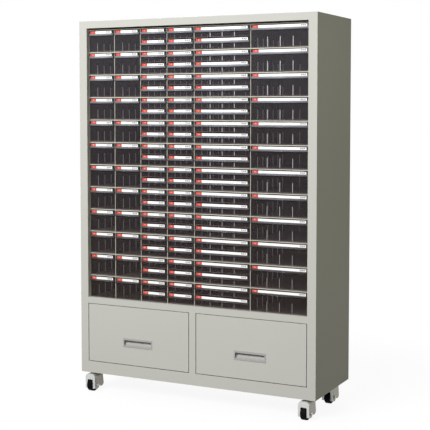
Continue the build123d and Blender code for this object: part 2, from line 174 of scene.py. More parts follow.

# The fork's front frame and the painted shade strips in its grooves, and steps of the rounded corners.
FRAME_BELOW_CROWN = 0.3 * MM
GROOVE_GAP = 0.2 * MM
GROOVE_RISE = 4.0 * MM
CORNER_STEPS = 8

# A wheel disc from its hub to its rim: radius in millimetres, and depth as a share of the
# disc's depth.
DISC_PROFILE = (
    (9.3, 0.125),
    (9.3, 3.0),
    (10.5, 3.0),
    (11.3, 1.0),
    (16.0, 1.0),
    (16.6, 2.0),
    (17.6, 2.0),
    (18.0, 0.125),
)
DISC_SEGMENTS = 40


# ---------------------------------------------------------------- settings
def colour(name, description, red, green, blue):
    """A colour setting whose default is given as 8-bit screen values."""
    return FloatVectorProperty(
        name=name,
        description=description,
        subtype="COLOR",
        size=3,
        min=0.0,
        max=1.0,
        default=tuple(screen_to_linear(v / 255) for v in (red, green, blue)),
    )


def length(name, description, millimetres):
    """A length setting whose default is given in millimetres."""
    return FloatProperty(
        name=name, description=description, subtype="DISTANCE", unit="LENGTH", default=millimetres * MM
    )


def screen_to_linear(v):
    """One channel of a screen colour as linear light."""
    return v / 12.92 if v <= 0.04045 else ((v + 0.055) / 1.055) ** 2.4


class CabinetFinishes(bpy.types.PropertyGroup):
    """Colours of the cabinet's materials."""

    paint: colour("Cabinet paint", "Powder coat of the carcass and steel drawers", 188, 188, 183)
    # One grid paint in two copies: lighter on the shelves as painted light on their hems, darker on the
    # partitions and runners as painted shade.
    shelf_paint: colour("Shelf paint", "Coat of the shelves between the rows", 205, 203, 192)
    partition_paint: colour("Partition paint", "Coat of the partitions and runners", 170, 168, 158)
    smoke: colour("Smoked plastic", "Tint of the upper small drawers", 88, 83, 90)
    # A darker, browner tint that the drawers' plastic takes towards the bottom rows.
    low_smoke: colour("Aged plastic", "Browner tint of the lowest small drawers", 70, 58, 56)
    # The rib edges' light colours are partly the ribs' milky frost and partly a painted highlight, weaker in
    # the lowest drawers.
    frost: colour("Frosted ribs", "Rib edges inside the upper small drawers", 226, 224, 232)
    low_frost: colour("Dull ribs", "Rib edges inside the lowest small drawers", 128, 120, 128)
    seam: colour("Floor seam", "Moulded seam along the foot of each drawer's front", 122, 102, 106)
    card: colour("Label card", "Paper of the labels", 250, 250, 250)
    tag: colour("Index tag", "Coloured end of each label", 206, 76, 60)
    ink: colour("Ink", "Ruled marks on the labels", 66, 64, 70)
    # The lips' light bluish grey is partly their clear tint and partly a painted highlight of the light they
    # catch from above, weaker in the lowest rows.
    holder: colour("Label lip", "Clear lip under the upper labels", 176, 180, 190)
    low_holder: colour("Dull lip", "Clear lip under the lowest labels", 92, 84, 88)
    pull: colour("Pull", "Moulded recessed pulls", 166, 164, 163)
    zinc: colour("Zinc", "Plated slides, bolts and axles", 190, 192, 194)
    fork: colour("Caster fork", "Plating of the caster forks", 190, 185, 172)
    # The front frame's plating is a lighter, whiter copy of the fork's plating: painted light on the face
    # that looks towards the lamp.
    fork_front: colour("Fork front", "Polished front frame of the caster forks", 208, 211, 209)
    # A dark strip on each flank behind the front frame: painted shade in the groove there, not a different
    # metal.
    fork_shade: colour("Fork groove", "Bare steel in the groove behind the fork's front frame", 92, 84, 76)
    tyre: colour("Tyre", "Rubber of the wheels", 9, 6, 7)
    hub: colour("Wheel hub", "Moulded centre of the wheels", 60, 58, 60)


class LabelSizes(bpy.types.PropertyGroup):
    """Sizes of the labels on the small drawers."""

    end: length("Holder end", "From the drawer's side to the label slot", 5.0)
    card_height: length("Card height", "Height of the card that shows above the lip", 9.2)
    card_drop: length("Card drop", "From the drawer's top to the card", 1.3)
    card_end: length("Card end", "From the drawer's right side to the card", 8.0)
    slot_depth: length("Slot depth", "Depth of the label slot", 0.8)
    bar: length("Bar height", "Height of the bar that holds the label", 13.0)
    lip_reach: length("Lip reach", "How far the lip stands in front of the bar", 3.0)
    lip_height: length("Lip height", "Height of the lip under the bar", 6.5)
    tag_width: length("Tag width", "Width of the coloured index tag", 22.5)
    wide_tag: length("Wide tag", "Extra width of the tag on a wide drawer", 1.0)
    digit_height: length("Digit height", "Height of the numbers on the tags", 4.6)
    ink_depth: length("Ink depth", "Thickness of the numbers' ink", 0.06)


class RibSizes(bpy.types.PropertyGroup):
    """Sizes of the ribs inside the small drawers."""

    wall: length("Wall", "Thickness of a drawer's side wall", 2.0)
    front_wall: length("Front wall", "Thickness of a drawer's front wall", 2.5)
    floor: length("Floor", "Thickness of a drawer's floor", 2.0)
    width: length("Rib width", "Width of a rib", 2.0)
    proud: length("Rib depth", "How far a rib stands from its wall", 1.5)
    height: length("Rib top", "Top of the ribs above the underside of a tall drawer", 38.0)
    below_top: length("Rib drop", "From the top of a low drawer to the top of its ribs", 20.0)
    start: length("First rib", "From the drawer's front face to the first side rib", 53.0)
    pitch: length("Rib pitch", "Distance between the ribs of a side wall", 46.5)
    front_pitch: length("Front rib pitch", "Distance between the ribs of a wide drawer's front", 48.5)
    side_count: IntProperty(name="Side ribs", description="Ribs on each side wall", default=6)
    front_count: IntProperty(name="Front ribs", description="Ribs on a wide drawer's front", default=3)
    skin: length("Skin", "How far the frosted edge stands off the rib", 0.12)
    # The rib edges' emission strength: a painted glow.
    glow: FloatProperty(name="Edge light", description="Light that a frosted edge passes on", default=0.1)


class CasterSizes(bpy.types.PropertyGroup):
    """Sizes of the casters' small parts."""

    trail: length("Trail", "From the swivel axis to the axle", 25.0)
    wheel_radius: length("Wheel radius", "Radius of the tyre", 25.0)
    tyre_width: length("Tyre width", "Width of the tyre", 22.0)
    fork_width: length("Fork width", "Width of the fork", 42.0)
    nose: length("Fork nose", "From the swivel axis to the fork's front", 41.0)
    crown: length("Fork crown", "Top of the fork above the floor", 68.7)
    frame_width: length("Frame width", "Width of the fork's raised front frame", 43.2)
    frame_corner: length("Frame corner", "Radius of the front frame's upper corners", 12.5)
    frame_proud: length("Frame proud", "How far the frame stands in front of the fork", 0.8)
    frame_depth: length("Frame depth", "Depth of the front frame along the flank", 4.0)
    frame_foot: length("Frame foot", "Lower end of the frame above the floor", 13.0)
    window: length("Window", "Width of the window round the wheel", 24.0)
    window_top: length("Window top", "Top of the window above the floor", 47.0)
    window_corner: length("Window corner", "Radius of the window's upper corners", 4.0)
    # The groove's width and lining size a thin dark strip of painted shade on each flank.
    groove: length("Groove", "Width of the groove behind the frame", 3.4)
    groove_skin: length("Groove lining", "Thickness of the groove's dark lining", 0.3)
    disc_depth: length("Disc depth", "How far the wheel's disc stands off the tyre", 0.4)


class RivetSizes(bpy.types.PropertyGroup):
    """Sizes and places of the rivets in the back panel."""

    head: length("Head", "Radius of a rivet's head", 3.6)
    rise: length("Rise", "How far a head stands off the panel", 1.0)
    end: length("End", "From the panel's edge to the first rivet", 45.0)
    below_deck: length("Drop", "From the deck's top to the rivets", 0.6)
    count: IntProperty(name="Rivets", description="Rivets in the row", default=8)


class StudioSettings(bpy.types.PropertyGroup):
    """Camera, lamps and background."""

    lens: FloatProperty(name="Lens", description="Focal length on a 36 mm sensor", default=89.53)
    shift: FloatProperty(name="Vertical shift", description="Camera shift", default=-0.1)
    key: FloatProperty(name="Key", description="Power of the large front lamp", unit="POWER", default=308.0)
    side: FloatProperty(name="Side", description="Power of the soft side lamp", unit="POWER", default=4.1)
    rear: FloatProperty(name="Rear", description="Power of the soft rear lamp", unit="POWER", default=100.0)
    fill: FloatProperty(name="Fill", description="Strength of the surrounding light", default=0.205)
    floor_show: FloatProperty(
        name="Floor shadow", description="Share of the floor's colour that shows shadow", default=0.08
    )
    seed: IntProperty(name="Seed", description="Seed of the small random offsets", default=7)


# ---------------------------------------------------------------- materials
class Finish:
    """A material being wired: a Principled shader and object coordinates to drive it."""

    def __init__(self, name):
        self.material = bpy.data.materials.new(name)
        self.material.use_nodes = True
        self.tree = self.material.node_tree
        self.shader = self.tree.nodes["Principled BSDF"]
        self.place = self.tree.nodes.new("ShaderNodeTexCoord").outputs["Object"]

    def set(self, **values):
        """Plain values on the shader's own sockets."""
        for name, value in values.items():
            self.shader.inputs[name.replace("_", " ")].default_value = value
        return self

    def noise(self, scale, detail=2.0, stretch=(1, 1, 1)):
        """A noise field in object space."""
        mapping = self.tree.nodes.new("ShaderNodeMapping")
        mapping.inputs["Scale"].default_value = stretch
        self.tree.links.new(self.place, mapping.inputs["Vector"])
        node = self.tree.nodes.new("ShaderNodeTexNoise")
        node.inputs["Scale"].default_value = scale
        node.inputs["Detail"].default_value = detail
        self.tree.links.new(mapping.outputs["Vector"], node.inputs["Vector"])
        return node.outputs["Fac"]

    def height(self, low, high):
        """0 at one height above the floor, rising to 1 at another."""
        parts = self.tree.nodes.new("ShaderNodeSeparateXYZ")
        self.tree.links.new(self.place, parts.inputs["Vector"])
        rise = self.tree.nodes.new("ShaderNodeMapRange")
        rise.inputs["From Min"].default_value = low
        rise.inputs["From Max"].default_value = high
        self.tree.links.new(parts.outputs["Z"], rise.inputs["Value"])
        return rise.outputs["Result"]

    def facing_front(self):
        """1 on faces that look straight forwards or backwards, 0 on all others."""
        coordinates = self.place.node
        parts = self.tree.nodes.new("ShaderNodeSeparateXYZ")
        self.tree.links.new(coordinates.outputs["Normal"], parts.inputs["Vector"])
        size = self.tree.nodes.new("ShaderNodeMath")
        size.operation = "ABSOLUTE"
        self.tree.links.new(parts.outputs["Y"], size.inputs[0])
        return size.outputs[0]

    def spread(self, field, socket, low, high):
        """A field mapped to a range of values on one of the shader's sockets."""
        node = self.tree.nodes.new("ShaderNodeMapRange")
        node.inputs["From Min"].default_value, node.inputs["From Max"].default_value = FIELD_RANGE
        node.inputs["To Min"].default_value = low
        node.inputs["To Max"].default_value = high
        self.tree.links.new(field, node.inputs["Value"])
        self.tree.links.new(node.outputs["Result"], self.shader.inputs[socket])
        return self

    def tint(self, field, dark, light):
        """The base colour, varied between two colours by a field."""
        node = self.tree.nodes.new("ShaderNodeMix")
        node.data_type = "RGBA"
        node.inputs["A"].default_value = (*dark, 1.0)
        node.inputs["B"].default_value = (*light, 1.0)
        self.tree.links.new(field, node.inputs["Factor"])
        self.tree.links.new(node.outputs["Result"], self.shader.inputs["Base Color"])
        return self

    def grain(self, field, strength, distance):
        """Relief from a field."""
        node = self.tree.nodes.new("ShaderNodeBump")
        node.inputs["Strength"].default_value = strength
        node.inputs["Distance"].default_value = distance
        self.tree.links.new(field, node.inputs["Height"])
        self.tree.links.new(node.outputs["Normal"], self.shader.inputs["Normal"])
        return self


def shade(base, factor):
    """A colour made lighter or darker by one factor."""
    return tuple(min(1.0, v * factor) for v in base)


def powder_coat(name, base, roughness):
    """Baked paint with a fine orange peel and faint cloudiness."""
    finish = Finish(name).set(Roughness=roughness, IOR=1.3, Specular_IOR_Level=0.12)
    finish.tint(finish.noise(scale=3.0), dark=shade(base, 0.975), light=shade(base, 1.025))
    finish.spread(finish.noise(scale=60.0), "Roughness", roughness - 0.04, roughness + 0.05)
    peel = finish.noise(scale=900.0, detail=1.0)
    return finish.grain(peel, strength=0.06, distance=0.2 * MM).material


def smoked_plastic(name, base, low_base):
    """Tinted styrene with slight flow lines, clearest through its front and rear walls, darker and browner
    towards the bottom rows.
    """
    finish = Finish(name).set(IOR=1.5)
    flow = finish.noise(scale=14.0, detail=3.0, stretch=(1.0, 1.0, 0.25))
    finish.tint(finish.height(*SMOKE_FADE), dark=low_base, light=base)
    finish.spread(flow, "Roughness", 0.12, 0.22)
    finish.spread(finish.facing_front(), "Alpha", 0.52, 0.17)
    return finish.grain(flow, strength=0.05, distance=0.5 * MM).material


def frosted_plastic(name, base, low_base, glow):
    """Milky edges, duller low down, with an emission of the given strength: a painted glow, as they are no
    lamp.
    """
    finish = Finish(name).set(IOR=1.5, Emission_Color=(*base, 1.0), Emission_Strength=glow)
    finish.tint(finish.height(*RIB_FADE), dark=low_base, light=base)
    return finish.spread(finish.noise(scale=120.0), "Roughness", 0.4, 0.5).material


def clear_plastic(name, base, low_base):
    """Glossy clear lip with a faint grey tint and a painted highlight in its light bluish colour, weaker low
    down.
    """
    finish = Finish(name).set(IOR=1.5, Alpha=0.5)
    finish.tint(finish.height(*LIP_FADE), dark=low_base, light=base)
    haze = finish.noise(scale=40.0, stretch=(0.2, 1.0, 1.0))
    return finish.spread(haze, "Roughness", 0.08, 0.2).material


def card_stock(name, base):
    """Matt card with a faint fibre."""
    finish = Finish(name).set(Roughness=0.6, IOR=1.45)
    fibre = finish.noise(scale=1400.0, detail=3.0)
    finish.tint(fibre, dark=shade(base, 0.97), light=base)
    return finish.grain(fibre, strength=0.05, distance=0.1 * MM).material


def moulded_plastic(name, base, roughness):
    """Opaque moulded plastic with a fine spark-eroded grain."""
    finish = Finish(name).set(IOR=1.48, Specular_IOR_Level=0.25)
    fine = finish.noise(scale=1600.0)
    finish.tint(finish.noise(scale=20.0), dark=shade(base, 0.95), light=shade(base, 1.03))
    finish.spread(fine, "Roughness", roughness - 0.05, roughness + 0.08)
    return finish.grain(fine, strength=0.12, distance=0.1 * MM).material


def plated_steel(name, base, roughness, metallic=0.85):
    """Zinc plate, with its soft cloudy spangle and drawn lines."""
    finish = Finish(name).set(Metallic=metallic)
    spangle = finish.noise(scale=90.0, detail=3.0)
    finish.tint(spangle, dark=shade(base, 0.82), light=shade(base, 1.05))
    finish.spread(spangle, "Roughness", roughness - 0.06, roughness + 0.1)
    drawn = finish.noise(scale=700.0, detail=1.0, stretch=(1.0, 0.08, 1.0))
    return finish.grain(drawn, strength=0.05, distance=0.1 * MM).material


def rubber(name, base):
    """Hard black rubber with a scuffed sheen."""
    finish = Finish(name).set(IOR=1.5, Specular_IOR_Level=0.06)
    scuffs = finish.noise(scale=240.0, detail=4.0)
    finish.tint(scuffs, dark=shade(base, 0.8), light=shade(base, 1.5))
    finish.spread(scuffs, "Roughness", 0.6, 0.8)
    return finish.grain(scuffs, strength=0.15, distance=0.2 * MM).material


def coat(node_name, material):
    """Give a carried-over node one material all over."""
    mesh = nodes[node_name].data
    mesh.materials.clear()
    mesh.materials.append(material)


# ---------------------------------------------------------------- mesh work
def soft_block(mesh, low, high, edge, material_index=0):
    """A block between two corners with eased edges, added to a bmesh."""
    made = bmesh.ops.create_cube(mesh, size=1.0)
    size = Vector(high) - Vector(low)
    middle = (Vector(high) + Vector(low)) / 2
    fit = Matrix.Translation(middle) @ Matrix.Diagonal((*size, 1.0))
    bmesh.ops.transform(mesh, matrix=fit, verts=made["verts"])
    edges = list({e for v in made["verts"] for e in v.link_edges})
    faces = {f for v in made["verts"] for f in v.link_faces}
    if edge:
        eased = bmesh.ops.bevel(mesh, geom=edges, offset=edge, segments=2, affect="EDGES", profile=0.5)
        faces = {f for v in eased["verts"] for f in v.link_faces} | {f for f in faces if f.is_valid}
    for face in faces:
        face.material_index = material_index


def drawn_strip(mesh, outline, left, right):
    """A closed outline of (y, z) points drawn out along X between two ends."""
    ends = [[mesh.verts.new((x, y, z)) for y, z in outline] for x in (left, right)]
    count = len(outline)
    for k in range(count):
        nxt = (k + 1) % count
        mesh.faces.new((ends[0][k], ends[0][nxt], ends[1][nxt], ends[1][k])).smooth = True
    for end in (ends[0][::-1], ends[1]):
        mesh.faces.new(end)


def turned_ring(mesh, profile, steps):
    """A closed profile of (radius, x) points turned about the X axis."""
    rings = []
    for s in range(steps):
        angle = 2 * math.pi * s / steps
        rings.append([mesh.verts.new((x, r * math.cos(angle), r * math.sin(angle))) for r, x in profile])
    for s in range(steps):
        this, that = rings[s], rings[(s + 1) % steps]
        for k in range(len(profile)):
            mesh.faces.new((this[k - 1], this[k], that[k], that[k - 1])).smooth = True


def finish_piece(mesh, name, materials, body):
    """Turn a bmesh into a named piece that rides on a body."""
    bmesh.ops.recalc_face_normals(mesh, faces=mesh.faces)
    data = bpy.data.meshes.new(name)
    mesh.to_mesh(data)
    mesh.free()
    for material in materials:
        data.materials.append(material)
    piece = bpy.data.objects.new(name, data)
    bpy.context.scene.collection.objects.link(piece)
    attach(piece, body)


# ---------------------------------------------------------------- places of the drawers
def drawer_places():
    """Number, node, body and corners of every small drawer, the top row first."""
    places = []
    spots = []
    for column in COLUMNS:
        for level in ("_upper", "_lower") if column in LOW_COLUMNS else ("",):
            spots.append((column, level))
    number = 0
    for row in range(1, ROWS + 1):
        for column, level in spots:
            number += 1
            first, last = (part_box(f"drawer_r{r}_{column}{level}") for r in SLIDING_ROWS)
            pitch = (first[0].z - last[0].z) / (SLIDING_ROWS[1] - SLIDING_ROWS[0])
            rise = Vector((0, 0, (SLIDING_ROWS[0] - row) * pitch))
            if row in SLIDING_ROWS:
                holder = body = f"drawer_r{row}_{column}{level}"
            else:
                holder, body = COLUMNS[column], "cabinet"
            places.append((number, holder, body, first[0] + rise, first[1] + rise))
    return places


def places_by_holder():
    """The drawers grouped by the node that holds them."""
    groups = {}
    for number, holder, body, low, high in drawer_places():
        groups.setdefault((holder, body), []).append((number, low, high))
    return groups


class CasterPlace:
    """Where a caster stands and how it is turned at rest, read from its swivel and wheel joints."""

    def __init__(self, corner):
        swivel = joints[f"{corner}_caster_swivel"]
        roll = joints[f"{corner}_wheel_roll"]
        post, along = Vector(swivel["pos_m"]), Vector(roll["axis"])
        angle = math.atan2(along.y, along.x)
        self.turn = Matrix.Translation((post.x, post.y, 0.0)) @ Matrix.Rotation(angle, 4, "Z")

    def at(self, x, y, z):
        """A point given from the swivel axis, with the wheel towards -Y."""
        return self.turn @ Vector((x, y, z))


_digits = {}


def digit_outline(text, height):
    """Triangles of a printed number, centred, in the XZ plane."""
    if text not in _digits:
        curve = bpy.data.curves.new("number", "FONT")
        curve.body = text
        curve.align_x = "CENTER"
        curve.align_y = "CENTER"
        curve.resolution_u = 2
        holder = bpy.data.objects.new("number", curve)
        bpy.context.scene.collection.objects.link(holder)
        bpy.context.view_layer.update()
        mesh = bpy.data.meshes.new_from_object(holder)
        points = [v.co.copy() for v in mesh.vertices]
        faces = [tuple(p.vertices) for p in mesh.polygons]
        tallest = max(p.y for p in points) - min(p.y for p in points)
        _digits[text] = ([(p.x / tallest, p.y / tallest) for p in points], faces)
        bpy.data.objects.remove(holder)
        bpy.data.curves.remove(curve)
        bpy.data.meshes.remove(mesh)
    points, faces = _digits[text]
    return [(x * height, z * height) for x, z in points], faces


def print_number(mesh, text, centre, height, depth, material_index):
    """A number of thin ink that stands off what lies behind it."""
    points, corners = digit_outline(text, height)
    verts = [mesh.verts.new((centre.x + x, centre.y, centre.z + z)) for x, z in points]
    front = [mesh.faces.new([verts[i] for i in triangle]) for triangle in corners]
    made = bmesh.ops.extrude_face_region(mesh, geom=front)
    verts += [item for item in made["geom"] if isinstance(item, bmesh.types.BMVert)]
    bmesh.ops.translate(mesh, verts=verts[len(points) :], vec=(0.0, depth, 0.0))
    for face in {face for vert in verts for face in vert.link_faces}:
        face.material_index = material_index


# ---------------------------------------------------------------- operators
class BINS_OT_studio(bpy.types.Operator):
    """Set the camera, the lamps, the pale floor and the white surround"""

    bl_idname = "bins.studio"
    bl_label = "Studio"

    def execute(self, context):
        studio = context.scene.bins_studio
        scene = context.scene
        eye = bpy.data.cameras.new("camera")
        eye.lens = studio.lens
        eye.sensor_width = 36.0
        eye.sensor_fit = "HORIZONTAL"
        eye.shift_y = studio.shift
        eye.clip_end = 100.0
        camera = bpy.data.objects.new("camera", eye)
        camera.location = CAMERA_PLACE
        camera.rotation_euler = (math.radians(90 - CAMERA_DIP), 0.0, math.radians(CAMERA_TURN))
        scene.collection.objects.link(camera)
        scene.camera = camera
        scene.view_settings.view_transform = "Standard"

        self.lamp(scene, "key_lamp", studio.key, *KEY_LAMP)
        side = self.lamp(scene, "side_lamp", studio.side, *SIDE_LAMP)
        side.color = SIDE_LIGHT
        self.lamp(scene, "rear_lamp", studio.rear, *REAR_LAMP)
        self.surround(scene, studio)
        self.floor(scene, studio)
        return {"FINISHED"}

    def lamp(self, scene, name, power, place, aim, size):
        """A soft rectangular lamp aimed at a point."""
        data = bpy.data.lights.new(name, "AREA")
        data.energy = power
        data.shape = "RECTANGLE"
        data.size, data.size_y = size
        lamp = bpy.data.objects.new(name, data)
        lamp.location = place
        lamp.rotation_euler = (Vector(aim) - Vector(place)).to_track_quat("-Z", "Y").to_euler()
        lamp.visible_camera = False
        scene.collection.objects.link(lamp)
        return data

    def seen_directly(self, tree):
        """1 for rays that show the background itself."""
        path = tree.nodes.new("ShaderNodeLightPath")
        total = path.outputs["Is Camera Ray"]
        for name in ("Is Glossy Ray", "Is Transmission Ray"):
            add = tree.nodes.new("ShaderNodeMath")
            add.operation = "MAXIMUM"
            tree.links.new(total, add.inputs[0])
            tree.links.new(path.outputs[name], add.inputs[1])
            total = add.outputs[0]
        return total

    def surround(self, scene, studio):
        """Soft light from all round, with plain white where the surround itself is seen."""
        world = bpy.data.worlds.new("surround")
        scene.world = world
        world.use_nodes = True
        tree = world.node_tree
        soft = tree.nodes["Background"]
        soft.inputs["Color"].default_value = (*FILL_LIGHT, 1.0)
        soft.inputs["Strength"].default_value = studio.fill
        white = tree.nodes.new("ShaderNodeBackground")
        white.inputs["Color"].default_value = (1, 1, 1, 1)
        white.inputs["Strength"].default_value = 1.0
        mix = tree.nodes.new("ShaderNodeMixShader")
        tree.links.new(self.seen_directly(tree), mix.inputs["Fac"])
        tree.links.new(soft.outputs[0], mix.inputs[1])
        tree.links.new(white.outputs[0], mix.inputs[2])
        tree.links.new(mix.outputs[0], tree.nodes["World Output"].inputs["Surface"])

    def away_from_cabinet(self, tree, place, studio):
        """The floor's share of plain white: less under and round the cabinet, where its shadow lies."""
        distance = tree.nodes.new("ShaderNodeVectorMath")
        distance.operation = "LENGTH"
        tree.links.new(place, distance.inputs[0])
        fade = tree.nodes.new("ShaderNodeMapRange")
        fade.interpolation_type = "SMOOTHSTEP"
        fade.inputs["From Min"].default_value, fade.inputs["From Max"].default_value = SHADOW_FADE
        fade.inputs["To Min"].default_value = 1.0 - studio.floor_show
        fade.inputs["To Max"].default_value = 1.0
        tree.links.new(distance.outputs["Value"], fade.inputs["Value"])
        return fade.outputs["Result"]

    def floor(self, scene, studio):
        """A pale paper floor that keeps the cabinet's soft shadow."""
        mesh = bmesh.new()
        bmesh.ops.create_grid(mesh, x_segments=8, y_segments=8, size=FLOOR_REACH)
        data = bpy.data.meshes.new("floor")
        mesh.to_mesh(data)
        mesh.free()
        floor = bpy.data.objects.new("floor", data)
        scene.collection.objects.link(floor)
        finish = Finish("floor_paper").set(Roughness=0.9, Specular_IOR_Level=0.1)
        tree = finish.tree
        direct = self.seen_directly(tree)
        finish.tint(direct, dark=FLOOR_BOUNCE, light=FLOOR_WHITE)
        glow = tree.nodes.new("ShaderNodeEmission")
        share = tree.nodes.new("ShaderNodeMath")
        share.operation = "MULTIPLY"
        tree.links.new(direct, share.inputs[0])
        tree.links.new(self.away_from_cabinet(tree, finish.place, studio), share.inputs[1])
        mix = tree.nodes.new("ShaderNodeMixShader")
        tree.links.new(share.outputs[0], mix.inputs["Fac"])
        tree.links.new(finish.shader.outputs[0], mix.inputs[1])
        tree.links.new(glow.outputs[0], mix.inputs[2])
        tree.links.new(mix.outputs[0], tree.nodes["Material Output"].inputs["Surface"])
        data.materials.append(finish.material)


class BINS_OT_carcass(bpy.types.Operator):
    """Powder-coat the carcass, the steel drawers and the drawer grid"""

    bl_idname = "bins.carcass"
    bl_label = "Carcass paint"

    def execute(self, context):
        finishes = context.scene.bins_finishes
        body_coat = powder_coat("cabinet_powder_coat", finishes.paint, roughness=0.42)
        for name in (
            "left_side_panel",
            "right_side_panel",
            "top_panel",
            "back_panel",
            "base_panel",
            "deck_panel",
            "centre_post",
            "slide_brackets",
        ):
            coat(name, body_coat)
        for hand in ("left", "right"):
            coat(f"{hand}_drawer_front", body_coat)
            coat(f"{hand}_drawer_tray", body_coat)
        # The shelves' coat is painted lighter and the partitions' and runners' coat darker: painted light
        # and painted shade on one grid paint.
        coat("row_shelves", powder_coat("shelf_coat_painted_lighter", finishes.shelf_paint, roughness=0.45))
        darker_partition_coat = powder_coat("partition_coat_painted_darker", finishes.partition_paint, roughness=0.45)
        coat("column_partitions", darker_partition_coat)
        coat("drawer_runners", darker_partition_coat)
        return {"FINISHED"}


class BINS_OT_rivets(bpy.types.Operator):
    """Set a row of rivets in the back panel, where the deck panel meets it"""

    bl_idname = "bins.rivets"
    bl_label = "Back rivets"

    def execute(self, context):
        sizes = context.scene.bins_rivets
        low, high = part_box("back_panel")
        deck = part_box("deck_panel")[1].z - sizes.below_deck
        span = high.x - low.x - 2 * sizes.end
        rivets = bmesh.new()
        for k in range(sizes.count):
            x = low.x + sizes.end + span * k / (sizes.count - 1)
            self.head(rivets, sizes, Vector((x, high.y, deck)))
        zinc = plated_steel("rivet_zinc", context.scene.bins_finishes.zinc, roughness=0.35)
        finish_piece(rivets, "back_rivets", [zinc], "cabinet")
        return {"FINISHED"}

    def head(self, mesh, sizes, foot):
        """A low domed head standing off the panel towards +Y."""
        made = bmesh.ops.create_uvsphere(mesh, u_segments=20, v_segments=10, radius=1.0)
        fit = Matrix.Translation(foot) @ Matrix.Diagonal((sizes.head, sizes.rise, sizes.head, 1.0))
        bmesh.ops.transform(mesh, matrix=fit, verts=made["verts"])
        for face in {f for v in made["verts"] for f in v.link_faces}:
            face.smooth = True


class BINS_OT_drawers(bpy.types.Operator):
    """Give every small drawer its smoked see-through plastic"""

    bl_idname = "bins.drawers"
    bl_label = "Smoked drawers"

    def execute(self, context):
        finishes = context.scene.bins_finishes
        smoke = smoked_plastic("smoked_styrene", finishes.smoke, finishes.low_smoke)
        for holder, _ in places_by_holder():
            coat(holder, smoke)
        return {"FINISHED"}


class BINS_OT_labels(bpy.types.Operator):
    """Slide a card with an index tag and a number into every drawer's label slot"""

    bl_idname = "bins.labels"
    bl_label = "Labels"

    def execute(self, context):
        finishes = context.scene.bins_finishes
        materials = [
            card_stock("label_card", finishes.card),
            moulded_plastic("index_tag", finishes.tag, roughness=0.4),
            card_stock("printed_number", NUMBER_COLOUR),
            card_stock("printed_line", finishes.ink),
        ]
        chance = random.Random(context.scene.bins_studio.seed)
        for (holder, body), group in places_by_holder().items():
            mesh = bmesh.new()
            for number, low, high in group:
                self.label(mesh, context.scene.bins_labels, number, low, high, chance)
            finish_piece(mesh, f"labels_{holder}", materials, body)
        return {"FINISHED"}

    def label(self, mesh, sizes, number, low, high, chance):
        """One card in its slot, with the tag over its left end and what is printed on both."""
        face = low.y + sizes.lip_reach
        slot_back = face + sizes.slot_depth
        left = low.x + sizes.end + chance.uniform(*CARD_LEFT_PLAY) * MM
        right = high.x - sizes.card_end + chance.uniform(*CARD_RIGHT_PLAY) * MM
        top = high.z - sizes.card_drop
        bottom = top - sizes.card_height
        card_low = (left, face + CARD_FRONT, bottom)
        soft_block(mesh, card_low, (right, slot_back - CARD_CLEARANCE, top), CARD_EDGE, CARD)
        tag_left = left - TAG_OVERHANG
        extra = sizes.wide_tag if right - left > WIDE else 0.0
        tag_right = tag_left + sizes.tag_width + extra + chance.uniform(*TAG_PLAY) * MM
        tag_low = (tag_left, face + TAG_LAYER[0], bottom + TAG_INSET)
        soft_block(mesh, tag_low, (tag_right, face + TAG_LAYER[1], top - TAG_INSET), TAG_EDGE, TAG)
        middle = (top + bottom) / 2
        centre = Vector(((tag_left + tag_right) / 2, face + NUMBER_FRONT, middle))
        print_number(mesh, str(number), centre, sizes.digit_height, sizes.ink_depth, NUMBER)
        self.ruled_dashes(mesh, face, right, middle)

    def ruled_dashes(self, mesh, face, right, middle):
        """Short ruled dashes at the card's right end, over a thin line."""
        front, back = (face + depth for depth in RULED_LAYER)
        low, high = (middle + height * MM for height in DASH_HEIGHTS)
        for k in range(DASHES):
            start = right - (DASH_START - DASH_STEP * k) * MM
            soft_block(mesh, (start, front, low), (start + DASH_WIDTH * MM, back, high), 0.0, RULED)
        low, high = (middle + height * MM for height in LINE_HEIGHTS)
        start, end = right - DASH_START * MM, right - LINE_END * MM
        soft_block(mesh, (start, front, low), (end, back, high), 0.0, RULED)


class BINS_OT_lips(bpy.types.Operator):
    """Add the clear curved lip that a finger pulls under every label"""

    bl_idname = "bins.lips"
    bl_label = "Clear lips"

    def execute(self, context):
        sizes = context.scene.bins_labels
        finishes = context.scene.bins_finishes
        # Clear grey tint with a painted highlight, weaker low down.
        clear = clear_plastic("clear_lip_and_highlight", finishes.holder, finishes.low_holder)
        for (holder, body), group in places_by_holder().items():
            mesh = bmesh.new()
            for _, low, high in group:
                drawn_strip(mesh, self.outline(sizes, low, high), low.x + LIP_END, high.x - LIP_END)
            finish_piece(mesh, f"lips_{holder}", [clear], body)
        return {"FINISHED"}

    def outline(self, sizes, low, high):
        """The lip's section: a clear sheet up over the card's lower edge, and a rounded roll below it."""
        face = low.y + sizes.lip_reach
        bar_z = high.z - sizes.bar
        sheet_z = high.z - sizes.card_drop - sizes.card_height - SHEET_LAP
        reach = sizes.lip_reach - LIP_GAP
        points = [(face + SHEET_BACK, sheet_z), (face - SHEET_FRONT, sheet_z)]
        for k in range(ROLL_STEPS + 1):
            turn = math.radians(90 - 180 * k / ROLL_STEPS)
            out = reach * (ROLL_OUT[0] + ROLL_OUT[1] * math.cos(turn))
            down = sizes.lip_height * (ROLL_DOWN[0] - ROLL_DOWN[1] * math.sin(turn))
            points.append((face - out, bar_z - down))
        for back, share in zip(FOOT_BACK, FOOT_DOWN):
            points.append((face + back, bar_z - sizes.lip_height * share))
        return points


